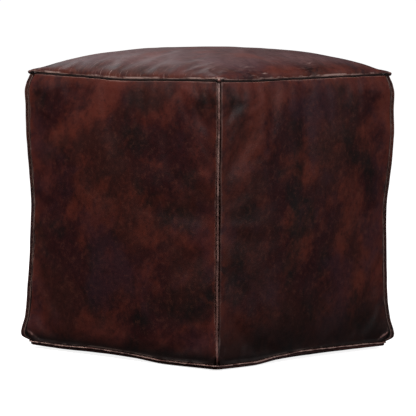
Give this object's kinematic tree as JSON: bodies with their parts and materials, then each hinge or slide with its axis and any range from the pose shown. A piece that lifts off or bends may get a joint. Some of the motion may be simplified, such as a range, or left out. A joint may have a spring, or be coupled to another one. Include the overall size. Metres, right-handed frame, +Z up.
{
  "type": "leather pouf",
  "caption": "Square stuffed leather floor pouf, with folded welts in its seams, a domed top and a zip in the underside.",
  "frame": {"origin": "centre of the footprint, on the floor", "axes": "+Z up; +X along the zip in the underside, towards its closed end; the four sides face -Y, +X, +Y and -X"},
  "size_m": [0.3966, 0.3966, 0.452],
  "materials": {
    "leather": "burnished, semi-gloss",
    "welt_leather": "worn, satin",
    "thread": "waxed thread",
    "zip_tape": "woven",
    "zip_metal": "aged, satin",
    "calico": "plain weave",
    "stuffing": "loose fibre"
  },
  "bodies": {
    "cover": {"top_panel": "leather", "side_panel_front": "leather", "side_panel_right": "leather", "side_panel_back": "leather", "side_panel_left": "leather", "base_panel_front": "leather", "base_panel_back": "leather", "top_welt": "welt_leather", "base_welt": "welt_leather", "corner_welt_front_right": "welt_leather", "corner_welt_back_right": "welt_leather", "corner_welt_back_left": "welt_leather", "corner_welt_front_left": "welt_leather", "top_seam_stitches": "thread", "base_seam_stitches": "thread", "corner_seam_stitches": "thread", "zip_seam_stitches": "thread", "zip_tape_front": "zip_tape", "zip_tape_back": "zip_tape", "zip_teeth_front": "zip_metal", "zip_teeth_back": "zip_metal", "zip_top_stops": "zip_metal", "zip_bottom_stop": "zip_metal", "inner_bag": "calico", "stuffing": "stuffing"},
    "zip_slider": {"zip_slider": "zip_metal"},
    "zip_pull": {"zip_pull": "zip_metal"}
  },
  "joints": [
    {"name": "zip_slide", "type": "slide", "parent": "cover", "child": "zip_slider", "axis": [1, 0, 0], "range_m": [-0.277, 0], "deforming": ["zip_tape_front", "zip_tape_back", "zip_teeth_front", "zip_teeth_back"]},
    {"name": "pull_hinge", "type": "hinge", "parent": "zip_slider", "child": "zip_pull", "pos_m": [0.14, 0, 0.0037], "axis": [0, 1, 0], "range_deg": [-168, 0]}
  ]
}
